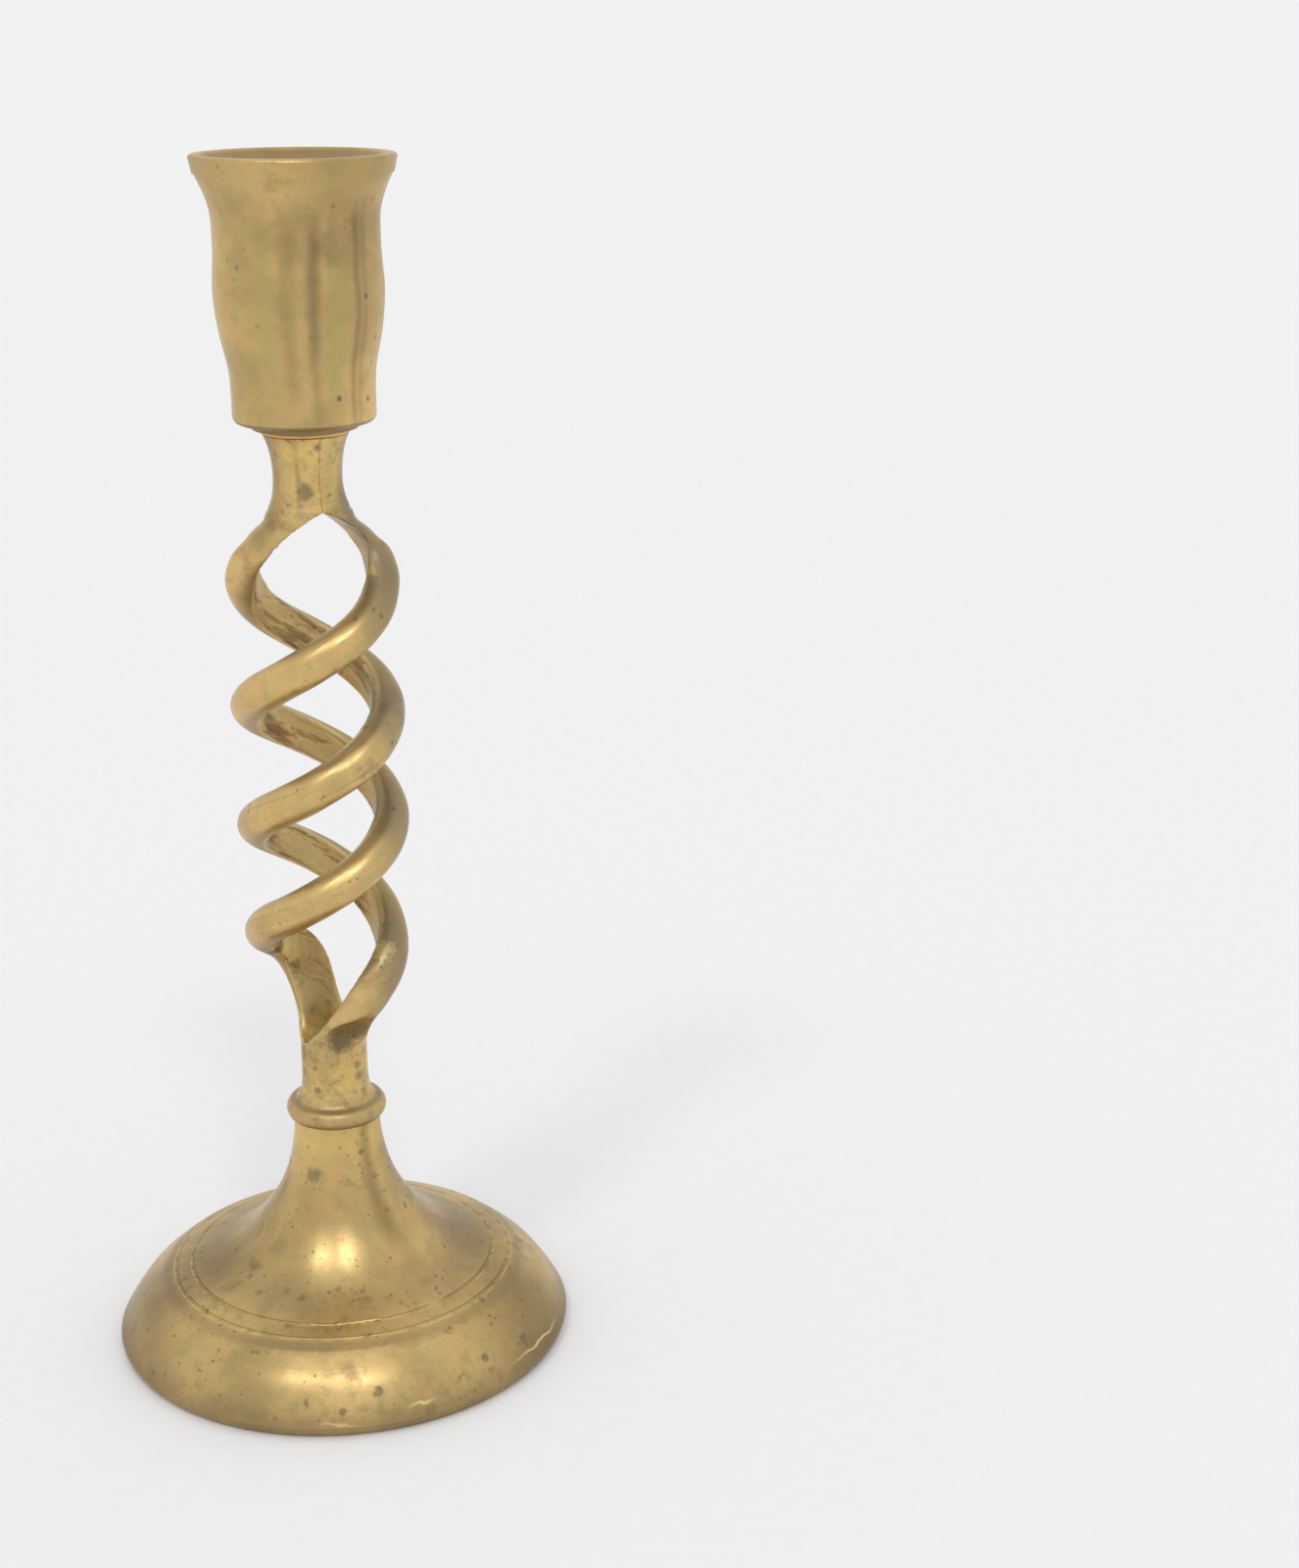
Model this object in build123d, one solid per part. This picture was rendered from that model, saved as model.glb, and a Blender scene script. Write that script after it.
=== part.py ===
from build123d import *

import os
from math import atan, cos, pi, radians, sin

# Spiral candle holder: a turned brass cup on a stem of two twisted strands, over a round hollow base.
# Millimetres, +Z up. The origin is on the table, under the middle of the base, and -Y is the front.
# An azimuth is an angle about +Z in degrees, from the front towards +X.

# The whole holder
OVERALL_HEIGHT = 200.4
BASE_DIAMETER = 78.0

# The base: a bell that runs out to a domed rim, hollow underneath
BASE_HEIGHT = 40.1
BASE_TOP_RADIUS = 7.3
BASE_WALL = 3.0
RIM_WIDTH = 8.0
VALLEY_HEIGHT = 11.5
EDGE_RADIUS = 2.0
REST_WIDTH = 2.6
LINE_RADIUS = 0.3
PAD_THICKNESS = 9.3
PAD_CLEARANCE = 0.7

# The stem: two like castings, joined on a plane through the axis at the foot and at the neck
FOOT_HEIGHT = 13.8
FOOT_NECK_RADIUS = 5.6
FOOT_FLARE_RADIUS = 6.9
FOOT_FLARE_HEIGHT = 4.6
BEAD_RADIUS = 8.5
BEAD_SEAT_RADIUS = 7.8
BEAD_HEIGHT = 3.2
BEAD_CROWN_HEIGHT = 1.4
NECK_HEIGHT = 11.9
NECK_TOP_RADIUS = 6.9
NECK_WAIST_RADIUS = 5.6
NECK_WAIST_SHARE = 0.58
NECK_FORK_RADIUS = 6.5
STRAND_OUTER_RADIUS = 14.2
STRAND_THICKNESS = 5.6
STRAND_HALF_FLAT = 2.3
LOWER_END_LENGTH = 24.0
UPPER_END_LENGTH = 24.0
LOWER_FORK_AZIMUTH = -235.0
TURN_HEIGHT = 53.1

# The cove under each strand's heel, where the strand comes off the foot
COVE_RADIUS = 3.6
COVE_AXIS_RADIUS = 8.7
COVE_HEIGHT = 1.7
COVE_LENGTH = 30.0
COVE_AZIMUTH = -15.0
COVE_TILT = 11.0

# The thin ring between the neck and the cup
NECK_RING_RADIUS = 7.2
NECK_RING_THICKNESS = 0.8

# The cup, which takes a standard 22 mm household candle. Radii are steps out from the candle bore's.
CANDLE_BORE_RADIUS = 11.1
CUP_HEIGHT = 41.9
CUP_BOSS_RADIUS = 8.4
CUP_BOSS_HEIGHT = 0.9
CUP_LOWER_STEP = 0.2
CUP_CORNER_RADIUS = 1.2
CUP_FLARE_STEP = 4.1
CUP_RIM_STEP = 4.8
CUP_RIM_HEIGHT = 2.8
CUP_RIM_LEDGE = 0.2
CUP_RIM_ROUNDING = 0.5
MOUTH_STEP = 3.2
MOUTH_DEPTH = 4.0
WELL_STEP = -2.7
WELL_DEPTH = 3.0
SEAT_TAPER_HEIGHT = 7.5
CUP_FLOOR_THICKNESS = 4.6

# The screw in the cup's floor, and the bolt and washer under the base
SCREW_RADIUS = 2.5
SCREW_FIT = 0.05
SCREW_POINT = 0.8
THREAD_PITCH = 0.8
THREAD_DEPTH = 0.35
CUP_SCREW_REACH = 8.6
CUP_SCREW_HEAD_RADIUS = 4.3
CUP_SCREW_HEAD_HEIGHT = 2.8
CUP_SCREW_SLOT_WIDTH = 1.2
CUP_SCREW_SLOT_DEPTH = 1.3
BOLT_REACH = 11.6
BOLT_HEAD_FLATS = 8.0
BOLT_HEAD_HEIGHT = 3.4
WASHER_RADIUS = 5.6
WASHER_THICKNESS = 1.0
TAPPED_HOLE_SPARE = 1.0
CUT_OVERRUN = 2.0

# Outlines as shares, hand set. The bell runs from its top (0, 1) to the valley inside the rim (1, 0),
# as (out, up) of the room between them, and the rim from the valley (0, 1) to the widest line (1, 0).
BELL_SHARES = [
    (0, 1),
    (0.009, 0.865),
    (0.034, 0.75),
    (0.128, 0.528),
    (0.277, 0.344),
    (0.511, 0.17),
    (0.79, 0.073),
    (0.91, 0.038),
    (1, 0),
]
SCRIBED_LINES = (6, 7)
RIM_SHARES = [(0, 1), (0.21, 0.86), (0.51, 0.63), (0.725, 0.385), (0.888, 0.17), (1, 0)]

# The cup's side from its lower corner (0, 0) to the rim (1, 1), as (out, up).
CUP_SIDE_SHARES = [
    (0, 0),
    (0.005, 0.09),
    (0.077, 0.21),
    (0.28, 0.31),
    (0.436, 0.414),
    (0.51, 0.543),
    (0.44, 0.654),
    (0.42, 0.77),
    (0.47, 0.85),
    (0.66, 0.92),
    (1, 1),
]

# How a strand's D section grows out of the half round at each fork, by rows of four shares:
# the distance from the fork as a share of the end's length, how far the flat stands off the axis
# as a share of its place in the helix, the thickness as a share of the strand's, and how much wider
# the flat is than in the helix as a share of that excess at the fork.
LOWER_END_SHARES = [
    (0.05, 0.21, 0.84, 0.88),
    (0.125, 0.37, 0.77, 0.66),
    (0.23, 0.52, 0.80, 0.54),
    (0.38, 0.73, 0.85, 0.57),
    (0.54, 0.86, 0.95, 0.46),
    (0.75, 0.95, 0.98, 0.10),
    (1.00, 1.00, 1.00, 0.00),
]
UPPER_END_SHARES = [
    (0.04, 0.26, 0.84, 0.90),
    (0.11, 0.54, 0.56, 0.64),
    (0.21, 0.85, 0.53, 0.47),
    (0.35, 1.02, 0.78, 0.20),
    (0.52, 1.02, 0.94, 0.16),
    (0.71, 1.02, 0.94, 0.03),
    (1.00, 1.00, 1.00, 0.00),
]

# How each casting is bent, for its lower and its upper end: how far its twist lags behind a steady one,
# as a share of the height between the forks, and the power of the height from the fork that its rate
# of turn grows with.
BEND_SHARES = {
    "stem_half_a": ((0.144, 4.0), (0.118, 1.6)),
    "stem_half_b": ((0.148, 0.5), (0.144, 1.0)),
}

# Where the strand's lean is measured, across its thickness from the flat
LEAN_SHARE = 0.45

# How many sections a strand is lofted through, and the power that crowds them towards the forks
END_SECTIONS = 18
HELIX_SECTIONS = 36
CROWDING_POWER = 1.25

# Heights and radii that follow from the sizes above
BASE_RADIUS = BASE_DIAMETER / 2
VALLEY_RADIUS = BASE_RADIUS - RIM_WIDTH
REST_OUTER_RADIUS = BASE_RADIUS - EDGE_RADIUS
REST_INNER_RADIUS = REST_OUTER_RADIUS - REST_WIDTH
PAD_UNDERSIDE = BASE_HEIGHT - PAD_THICKNESS
HOLE_RADIUS = SCREW_RADIUS + SCREW_FIT
CAVITY_TOP_RADIUS = WASHER_RADIUS + PAD_CLEARANCE
CUP_UNDERSIDE = OVERALL_HEIGHT - CUP_HEIGHT
CUP_FLOOR = CUP_UNDERSIDE + CUP_FLOOR_THICKNESS
STEM_TOP = CUP_UNDERSIDE - NECK_RING_THICKNESS
LOWER_FORK = BASE_HEIGHT + FOOT_HEIGHT
UPPER_FORK = STEM_TOP - NECK_HEIGHT
FORK_TO_FORK = UPPER_FORK - LOWER_FORK
HELIX_LENGTH = FORK_TO_FORK - LOWER_END_LENGTH - UPPER_END_LENGTH
STRAND_INNER_RADIUS = STRAND_OUTER_RADIUS - STRAND_THICKNESS
TWIST = 360 * FORK_TO_FORK / TURN_HEIGHT


def at(radius, height):
    """The point of an outline at this radius and height, in the plane that is turned about the axis."""
    return Vector(radius, 0, height)


def line(*points):
    """Straight edges through the points in turn."""
    return [Edge.make_line(a, b) for a, b in zip(points, points[1:])]


def turned(edges, arc=360):
    """The solid that a closed outline sweeps when it is turned about the axis."""
    return revolve(make_face(edges), axis=Axis.Z, revolution_arc=arc)


def bore(radius, bottom, top):
    """A round cutter on the axis from one height to another."""
    return Pos(0, 0, bottom) * Cylinder(radius, top - bottom, align=(Align.CENTER, Align.CENTER, Align.MIN))


def bell_points():
    """Outline points of the bell, from the top down to the valley."""
    width = VALLEY_RADIUS - BASE_TOP_RADIUS
    drop = BASE_HEIGHT - VALLEY_HEIGHT
    return [at(BASE_TOP_RADIUS + out * width, VALLEY_HEIGHT + up * drop) for out, up in BELL_SHARES]


def rim_points():
    """Outline points of the domed rim, from the valley out to the widest line."""
    drop = VALLEY_HEIGHT - EDGE_RADIUS
    return [at(VALLEY_RADIUS + out * RIM_WIDTH, EDGE_RADIUS + up * drop) for out, up in RIM_SHARES]


def inset(points, wall):
    """Each inner point of an outline moved inwards by the wall, square to its neighbours."""
    moved = []
    for before, point, after in zip(points, points[1:], points[2:]):
        along = (after - before).normalized()
        moved.append(point + Vector(along.Z, 0, -along.X) * wall)
    return moved


def make_base():
    """The hollow base, with its rest ring, scribed lines and the pad that the bolt pulls on."""
    bell = bell_points()
    rim = rim_points()
    rest = at(REST_OUTER_RADIUS, 0)
    edge_middle = at(REST_OUTER_RADIUS + EDGE_RADIUS * sin(pi / 4), EDGE_RADIUS * (1 - cos(pi / 4)))
    hollow = [
        point
        for point in reversed(inset(bell + rim[1:], BASE_WALL))
        if CAVITY_TOP_RADIUS < point.X < REST_INNER_RADIUS and point.Z < PAD_UNDERSIDE
    ]
    hollow.append(at(CAVITY_TOP_RADIUS, PAD_UNDERSIDE))
    edges = [
        Edge.make_spline(bell),
        Edge.make_spline(rim),
        Edge.make_three_point_arc(rim[-1], edge_middle, rest),
        *line(rest, at(REST_INNER_RADIUS, 0), hollow[0]),
        Edge.make_spline(hollow),
        *line(hollow[-1], at(HOLE_RADIUS, PAD_UNDERSIDE), at(HOLE_RADIUS, BASE_HEIGHT), bell[0]),
    ]
    base = turned(edges)
    for index in SCRIBED_LINES:
        base -= Pos(0, 0, bell[index].Z) * Torus(bell[index].X, LINE_RADIUS)
    return base


def slopes(places, values):
    """Slopes of a curve through the points that never overshoots them."""
    steps = [(b - a) / (q - p) for p, q, a, b in zip(places, places[1:], values, values[1:])]
    inner = [2 * a * b / (a + b) if a * b > 0 else 0 for a, b in zip(steps, steps[1:])]
    return [steps[0], *inner, steps[-1]]


def value_at(place, places, values):
    """The value of that curve at a place, level beyond its last point."""
    if place >= places[-1]:
        return values[-1]
    left = max(i for i, p in enumerate(places) if p <= place)
    run = places[left + 1] - places[left]
    u = (place - places[left]) / run
    slope = slopes(places, values)
    return (
        values[left] * (1 + 2 * u) * (1 - u) ** 2
        + values[left + 1] * u**2 * (3 - 2 * u)
        + run * slope[left] * u * (1 - u) ** 2
        + run * slope[left + 1] * u**2 * (u - 1)
    )


def section_sizes(height):
    """Flat's distance from the axis, thickness and half width of a strand's D section at a height."""
    if height < (LOWER_FORK + UPPER_FORK) / 2:
        rows, length, fork_radius = LOWER_END_SHARES, LOWER_END_LENGTH, FOOT_NECK_RADIUS
        place = (height - LOWER_FORK) / length
    else:
        rows, length, fork_radius = UPPER_END_SHARES, UPPER_END_LENGTH, NECK_FORK_RADIUS
        place = (UPPER_FORK - height) / length
    places = [0] + [row[0] for row in rows]
    inner = [0] + [row[1] * STRAND_INNER_RADIUS for row in rows]
    thick = [fork_radius] + [row[2] * STRAND_THICKNESS for row in rows]
    spread = fork_radius - STRAND_HALF_FLAT
    half = [fork_radius] + [STRAND_HALF_FLAT + row[3] * spread for row in rows]
    return [value_at(place, places, values) for values in (inner, thick, half)]


def twist_at(height, bend):
    """How far a strand has turned from its lower fork, and its rate of turn there, in degrees."""
    (lower_lag, lower_power), (upper_lag, upper_power) = bend
    up = (height - LOWER_FORK) / FORK_TO_FORK
    down = (UPPER_FORK - height) / FORK_TO_FORK
    steady = TWIST / (1 - lower_lag - upper_lag)
    lower_knee = lower_lag * (1 + 1 / lower_power)
    upper_knee = upper_lag * (1 + 1 / upper_power)
    if up < lower_knee:
        grown = (up / lower_knee) ** lower_power
        turn = steady * grown * up / (lower_power + 1)
    elif down < upper_knee:
        grown = (down / upper_knee) ** upper_power
        turn = TWIST - steady * grown * down / (upper_power + 1)
    else:
        grown = 1
        turn = steady * (up - lower_lag)
    return turn, steady * grown / FORK_TO_FORK


def strand_section(height, azimuth, bend):
    """The D section of a strand: a flat towards the axis and a round back of two arcs."""
    inner, thick, half = section_sizes(height)
    turn, rate = twist_at(height, bend)
    angle = radians(azimuth + turn)
    lean = atan((inner + LEAN_SHARE * thick) * radians(rate))
    outward = Vector(sin(angle), -cos(angle), 0)
    across = Vector(cos(angle) * cos(lean), sin(angle) * cos(lean), -sin(lean))
    radius = (half**2 + thick**2) / (2 * thick)
    foot = outward * inner + Vector(0, 0, height)
    middle = foot + outward * (thick - radius)
    crown = foot + outward * thick
    left = foot - across * half
    right = foot + across * half
    quarter_left = middle + ((left - middle).normalized() + outward).normalized() * radius
    quarter_right = middle + ((right - middle).normalized() + outward).normalized() * radius
    return Wire(
        [
            Edge.make_line(left, right),
            Edge.make_three_point_arc(right, quarter_right, crown),
            Edge.make_three_point_arc(crown, quarter_left, left),
        ]
    )


def section_heights():
    """Heights of the strand's sections, closest together at the forks."""
    shares = [(k / END_SECTIONS) ** CROWDING_POWER for k in range(END_SECTIONS)]
    lower = [LOWER_FORK + LOWER_END_LENGTH * share for share in shares]
    upper = [UPPER_FORK - UPPER_END_LENGTH * share for share in reversed(shares)]
    start = LOWER_FORK + LOWER_END_LENGTH
    helix = [start + HELIX_LENGTH * k / HELIX_SECTIONS for k in range(HELIX_SECTIONS + 1)]
    return lower + helix + upper


def foot_outline():
    """Half outline of the foot: the bead that sits on the base, then a flare up to the fork."""
    crease = BASE_HEIGHT + BEAD_HEIGHT
    bead_seat = at(BEAD_SEAT_RADIUS, BASE_HEIGHT)
    bead_middle = at(BEAD_RADIUS, BASE_HEIGHT + BEAD_CROWN_HEIGHT)
    bead_top = at(FOOT_FLARE_RADIUS, crease)
    flare_top = at(FOOT_NECK_RADIUS, crease + FOOT_FLARE_HEIGHT)
    flare = Edge.make_spline(
        [bead_top, flare_top],
        tangents=[Vector(-1, 0, 1), Vector(0, 0, 1)],
    )
    return [
        *line(at(0, BASE_HEIGHT), bead_seat),
        Edge.make_three_point_arc(bead_seat, bead_middle, bead_top),
        flare,
        *line(flare_top, at(FOOT_NECK_RADIUS, LOWER_FORK), at(0, LOWER_FORK), at(0, BASE_HEIGHT)),
    ]


def neck_outline():
    """Half outline of the neck, waisted between the fork and the top."""
    fork = at(NECK_FORK_RADIUS, UPPER_FORK)
    waist = at(NECK_WAIST_RADIUS, UPPER_FORK + NECK_WAIST_SHARE * NECK_HEIGHT)
    top = at(NECK_TOP_RADIUS, STEM_TOP)
    side = Edge.make_spline([fork, waist, top], tangents=[Vector(-1, 0, 2), Vector(1, 0, 2)])
    return [side, *line(top, at(0, STEM_TOP), at(0, UPPER_FORK), fork)]


def make_stem_half(azimuth, bend):
    """One casting of the stem: half the foot, a twisted strand and half the neck.

    The azimuth is where the middle of its half foot faces."""
    strand = Solid.make_loft([strand_section(height, azimuth, bend) for height in section_heights()])
    foot = Rot(0, 0, azimuth - 180) * turned(foot_outline(), 180)
    neck = Rot(0, 0, azimuth + TWIST - 180) * turned(neck_outline(), 180)
    foot_hole = bore(HOLE_RADIUS, BASE_HEIGHT - CUT_OVERRUN, BASE_HEIGHT + BOLT_REACH + TAPPED_HOLE_SPARE)
    neck_hole = bore(HOLE_RADIUS, STEM_TOP - CUP_SCREW_REACH - TAPPED_HOLE_SPARE, STEM_TOP + CUT_OVERRUN)
    cove_place = Pos(0, -COVE_AXIS_RADIUS, LOWER_FORK + COVE_HEIGHT) * Rot(0, 90 - COVE_TILT, 0)
    cove = Rot(0, 0, azimuth + COVE_AZIMUTH) * cove_place * Cylinder(COVE_RADIUS, COVE_LENGTH)
    return (foot + strand + neck) - foot_hole - neck_hole - cove


def make_neck_ring():
    """The thin ring between the neck and the cup, with a rounded rim."""
    flat = NECK_RING_RADIUS - NECK_RING_THICKNESS / 2
    lower = at(flat, STEM_TOP)
    middle = at(NECK_RING_RADIUS, STEM_TOP + NECK_RING_THICKNESS / 2)
    upper = at(flat, CUP_UNDERSIDE)
    return turned(
        [
            Edge.make_three_point_arc(lower, middle, upper),
            *line(upper, at(HOLE_RADIUS, CUP_UNDERSIDE), at(HOLE_RADIUS, STEM_TOP), lower),
        ]
    )


def make_cup():
    """The turned cup, with its boss, rim band and candle bore."""
    body_bottom = CUP_UNDERSIDE + CUP_BOSS_HEIGHT
    side_bottom = body_bottom + CUP_CORNER_RADIUS
    side_top = OVERALL_HEIGHT - CUP_RIM_HEIGHT
    lower = CANDLE_BORE_RADIUS + CUP_LOWER_STEP
    corner = lower - CUP_CORNER_RADIUS
    corner_middle = at(corner, side_bottom) + Vector(sin(pi / 4), 0, -cos(pi / 4)) * CUP_CORNER_RADIUS
    width = CUP_FLARE_STEP - CUP_LOWER_STEP
    height = side_top - side_bottom
    side = [at(lower + out * width, side_bottom + up * height) for out, up in CUP_SIDE_SHARES]
    ledge = side[-1] + Vector(CUP_RIM_LEDGE, 0, 0)
    rim = CANDLE_BORE_RADIUS + CUP_RIM_STEP
    rim_edge = at(rim, OVERALL_HEIGHT - CUP_RIM_ROUNDING)
    rim_land = at(rim - CUP_RIM_ROUNDING, OVERALL_HEIGHT)
    rim_middle = rim_land + Vector(sin(pi / 4), 0, cos(pi / 4) - 1) * CUP_RIM_ROUNDING
    mouth_edge = at(CANDLE_BORE_RADIUS + MOUTH_STEP, OVERALL_HEIGHT)
    bore_top = at(CANDLE_BORE_RADIUS, OVERALL_HEIGHT - MOUTH_DEPTH)
    well = CANDLE_BORE_RADIUS + WELL_STEP
    well_top = CUP_FLOOR + WELL_DEPTH
    edges = [
        *line(
            at(HOLE_RADIUS, CUP_UNDERSIDE),
            at(CUP_BOSS_RADIUS, CUP_UNDERSIDE),
            at(CUP_BOSS_RADIUS, body_bottom),
            at(corner, body_bottom),
        ),
        Edge.make_three_point_arc(at(corner, body_bottom), corner_middle, side[0]),
        Edge.make_spline(side),
        *line(side[-1], ledge, rim_edge),
        Edge.make_three_point_arc(rim_edge, rim_middle, rim_land),
        *line(rim_land, mouth_edge),
        Edge.make_spline([mouth_edge, bore_top], tangents=[Vector(-1, 0, -1), Vector(0, 0, -1)]),
        *line(
            bore_top,
            at(CANDLE_BORE_RADIUS, well_top + SEAT_TAPER_HEIGHT),
            at(well, well_top),
            at(well, CUP_FLOOR),
            at(HOLE_RADIUS, CUP_FLOOR),
            at(HOLE_RADIUS, CUP_UNDERSIDE),
        ),
    ]
    return turned(edges)


def threaded_shank(length):
    """A screw's shank that hangs from the origin, with grooves for its thread and a cut point."""
    root = SCREW_RADIUS - THREAD_DEPTH
    count = int((length - SCREW_POINT) / THREAD_PITCH) - 1
    points = [at(0, 0), at(SCREW_RADIUS, 0), at(SCREW_RADIUS, -THREAD_PITCH)]
    for turn in range(1, count):
        top = -turn * THREAD_PITCH
        points += [at(root, top - THREAD_PITCH / 2), at(SCREW_RADIUS, top - THREAD_PITCH)]
    points.append(at(SCREW_RADIUS, SCREW_POINT - length))
    points += [at(SCREW_RADIUS - SCREW_POINT, -length), at(0, -length)]
    return turned(line(*points, points[0]))


def make_cup_screw():
    """The slotted screw that holds the cup, through its floor into the neck."""
    shank = threaded_shank(CUP_FLOOR_THICKNESS + NECK_RING_THICKNESS + CUP_SCREW_REACH)
    head = bore(CUP_SCREW_HEAD_RADIUS, 0, CUP_SCREW_HEAD_HEIGHT)
    head = fillet(head.edges().group_by(Axis.Z)[-1], CUP_SCREW_HEAD_HEIGHT / 4)
    slot_bottom = CUP_SCREW_HEAD_HEIGHT - CUP_SCREW_SLOT_DEPTH
    slot = Pos(0, 0, slot_bottom) * Box(
        CUP_SCREW_SLOT_WIDTH,
        2 * CUP_SCREW_HEAD_RADIUS + CUT_OVERRUN,
        CUP_SCREW_SLOT_DEPTH + CUT_OVERRUN,
        align=(Align.CENTER, Align.CENTER, Align.MIN),
    )
    return Pos(0, 0, CUP_FLOOR) * (shank + head - slot)


def make_base_washer():
    """The washer under the pad of the base."""
    bottom = PAD_UNDERSIDE - WASHER_THICKNESS
    return bore(WASHER_RADIUS, bottom, PAD_UNDERSIDE) - bore(HOLE_RADIUS, bottom - CUT_OVERRUN, BASE_HEIGHT)


def make_base_bolt():
    """The hexagon bolt that holds the base, from underneath into the foot."""
    seat = PAD_UNDERSIDE - WASHER_THICKNESS
    shank = Pos(0, 0, seat) * Rot(180, 0, 0) * threaded_shank(WASHER_THICKNESS + PAD_THICKNESS + BOLT_REACH)
    hexagon = RegularPolygon(BOLT_HEAD_FLATS / 2, 6, major_radius=False)
    head = Pos(0, 0, seat - BOLT_HEAD_HEIGHT) * extrude(hexagon, amount=BOLT_HEAD_HEIGHT)
    return shank + head


os.makedirs("parts", exist_ok=True)
pieces = {
    "base": make_base(),
    "base_bolt": make_base_bolt(),
    "base_washer": make_base_washer(),
    "stem_half_a": make_stem_half(LOWER_FORK_AZIMUTH + 90, BEND_SHARES["stem_half_a"]),
    "stem_half_b": make_stem_half(LOWER_FORK_AZIMUTH - 90, BEND_SHARES["stem_half_b"]),
    "neck_ring": make_neck_ring(),
    "cup": make_cup(),
    "cup_screw": make_cup_screw(),
}
for name, piece in pieces.items():
    export_step(piece, f"parts/{name}.step")
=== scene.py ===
import math

import bmesh
import bpy
from mathutils import Matrix, noise


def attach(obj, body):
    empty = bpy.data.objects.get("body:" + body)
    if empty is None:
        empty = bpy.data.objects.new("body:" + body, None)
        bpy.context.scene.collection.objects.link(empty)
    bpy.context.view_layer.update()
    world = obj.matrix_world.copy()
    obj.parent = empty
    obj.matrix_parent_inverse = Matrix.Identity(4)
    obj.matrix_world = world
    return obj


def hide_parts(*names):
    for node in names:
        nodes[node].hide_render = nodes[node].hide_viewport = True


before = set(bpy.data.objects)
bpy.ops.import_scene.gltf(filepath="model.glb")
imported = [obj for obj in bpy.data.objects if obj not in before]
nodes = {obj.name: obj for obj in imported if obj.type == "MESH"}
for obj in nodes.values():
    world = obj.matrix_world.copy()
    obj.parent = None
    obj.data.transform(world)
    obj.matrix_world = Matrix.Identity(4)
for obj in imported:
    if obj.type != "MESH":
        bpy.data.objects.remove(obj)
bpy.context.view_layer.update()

# The camera: it stands where the photograph was taken from, in front of the holder, a little to its
# right and a little above the cup, and looks down by about 18 degrees.
MM = 0.001
CAMERA_PLACE = (54.47 * MM, -385.85 * MM, 224.0 * MM)
CAMERA_PITCH = 17.93
CAMERA_ROLL = 0.18
CAMERA_LENS = 56.43
CAMERA_SENSOR = 36
CAMERA_NEAR = 0.01
CAMERA_FAR = 50
camera_data = bpy.data.cameras.new("camera")
camera_data.sensor_width = CAMERA_SENSOR
camera_data.lens = CAMERA_LENS
camera_data.clip_start = CAMERA_NEAR
camera_data.clip_end = CAMERA_FAR
camera = bpy.data.objects.new("camera", camera_data)
camera.location = CAMERA_PLACE
camera.rotation_mode = "XYZ"
camera.rotation_euler = (math.radians(90 - CAMERA_PITCH), math.radians(CAMERA_ROLL), 0)
bpy.context.scene.collection.objects.link(camera)
bpy.context.scene.camera = camera
bpy.context.scene.view_settings.view_transform = "Standard"

# The room: a pale paper floor that runs out of sight into a white surround, and two soft lamps above
# the camera, one on each side, whose reflections are the soft lights on the brass.
FLOOR_SIZE = 30.0
FLOOR_TONE = (246, 246, 247)
FLOOR_GRAIN_TONE = (241, 241, 243)
FLOOR_GRAIN_SCALE = 300
FLOOR_GRAIN_HEIGHT = 0.05 * MM
FLOOR_FADE = (0.9, 3.0)
SURROUND_TONE = (241, 242, 242)
AMBIENT = 0.80
# Each lamp's name, its azimuth, height and width in degrees, and its power.
LAMPS = [("lamp_right", 14, 55, 9, 0.33), ("lamp_left", -29, 55, 9, 0.27)]
# The sockets of a colour Mix node go by number, because several of them share a name.
MIX_SHARE = 0
MIX_UNDER = 6
MIX_OVER = 7
MIX_RESULT = 2


def tone(red, green, blue):
    """A colour as it looks on screen, 0 to 255, as the linear colour that a shader takes."""
    shares = [channel / 255 for channel in (red, green, blue)]
    return (*[s / 12.92 if s <= 0.04045 else ((s + 0.055) / 1.055) ** 2.4 for s in shares], 1)


class Finish:
    """The finish of a material or of the surround. Each call adds a node and hands back its output."""

    def __init__(self, owner):
        owner.use_nodes = True
        self.owner = owner
        self.tree = owner.node_tree
        self.tree.nodes.clear()

    def add(self, kind, inputs=None, output=0, **settings):
        """Adds a node. An input is a value or another node's output; output picks what comes back."""
        node = self.tree.nodes.new("ShaderNode" + kind)
        for key, value in settings.items():
            setattr(node, key, value)
        for key, value in (inputs or {}).items():
            if isinstance(value, bpy.types.NodeSocket):
                self.tree.links.new(value, node.inputs[key])
            else:
                node.inputs[key].default_value = value
        return node.outputs[output] if node.outputs else None

    def sum(self, operation, first, second=0.0):
        """One step of arithmetic on numbers or outputs."""
        return self.add("Math", {0: first, 1: second}, operation=operation)

    def times(self, first, second):
        """The product of the two."""
        return self.sum("MULTIPLY", first, second)

    def gap(self, first, second):
        """How far apart the two are."""
        return self.sum("ABSOLUTE", self.sum("SUBTRACT", first, second))

    def step(self, value, low, high, out_low=0.0, out_high=1.0):
        """Runs smoothly from one value to the other as the input goes from low to high."""
        return self.add(
            "MapRange",
            {"Value": value, "From Min": low, "From Max": high, "To Min": out_low, "To Max": out_high},
            interpolation_type="SMOOTHSTEP",
        )

    def noise(self, place, scale, detail=3.0, roughness=0.5):
        """A soft irregular pattern, with so many patches to the metre."""
        return self.add(
            "TexNoise", {"Vector": place, "Scale": scale, "Detail": detail, "Roughness": roughness}
        )

    def blend(self, share, under, over):
        """Lays one colour over another."""
        return self.add(
            "Mix",
            {MIX_SHARE: share, MIX_UNDER: under, MIX_OVER: over},
            output=MIX_RESULT,
            data_type="RGBA",
        )


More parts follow.
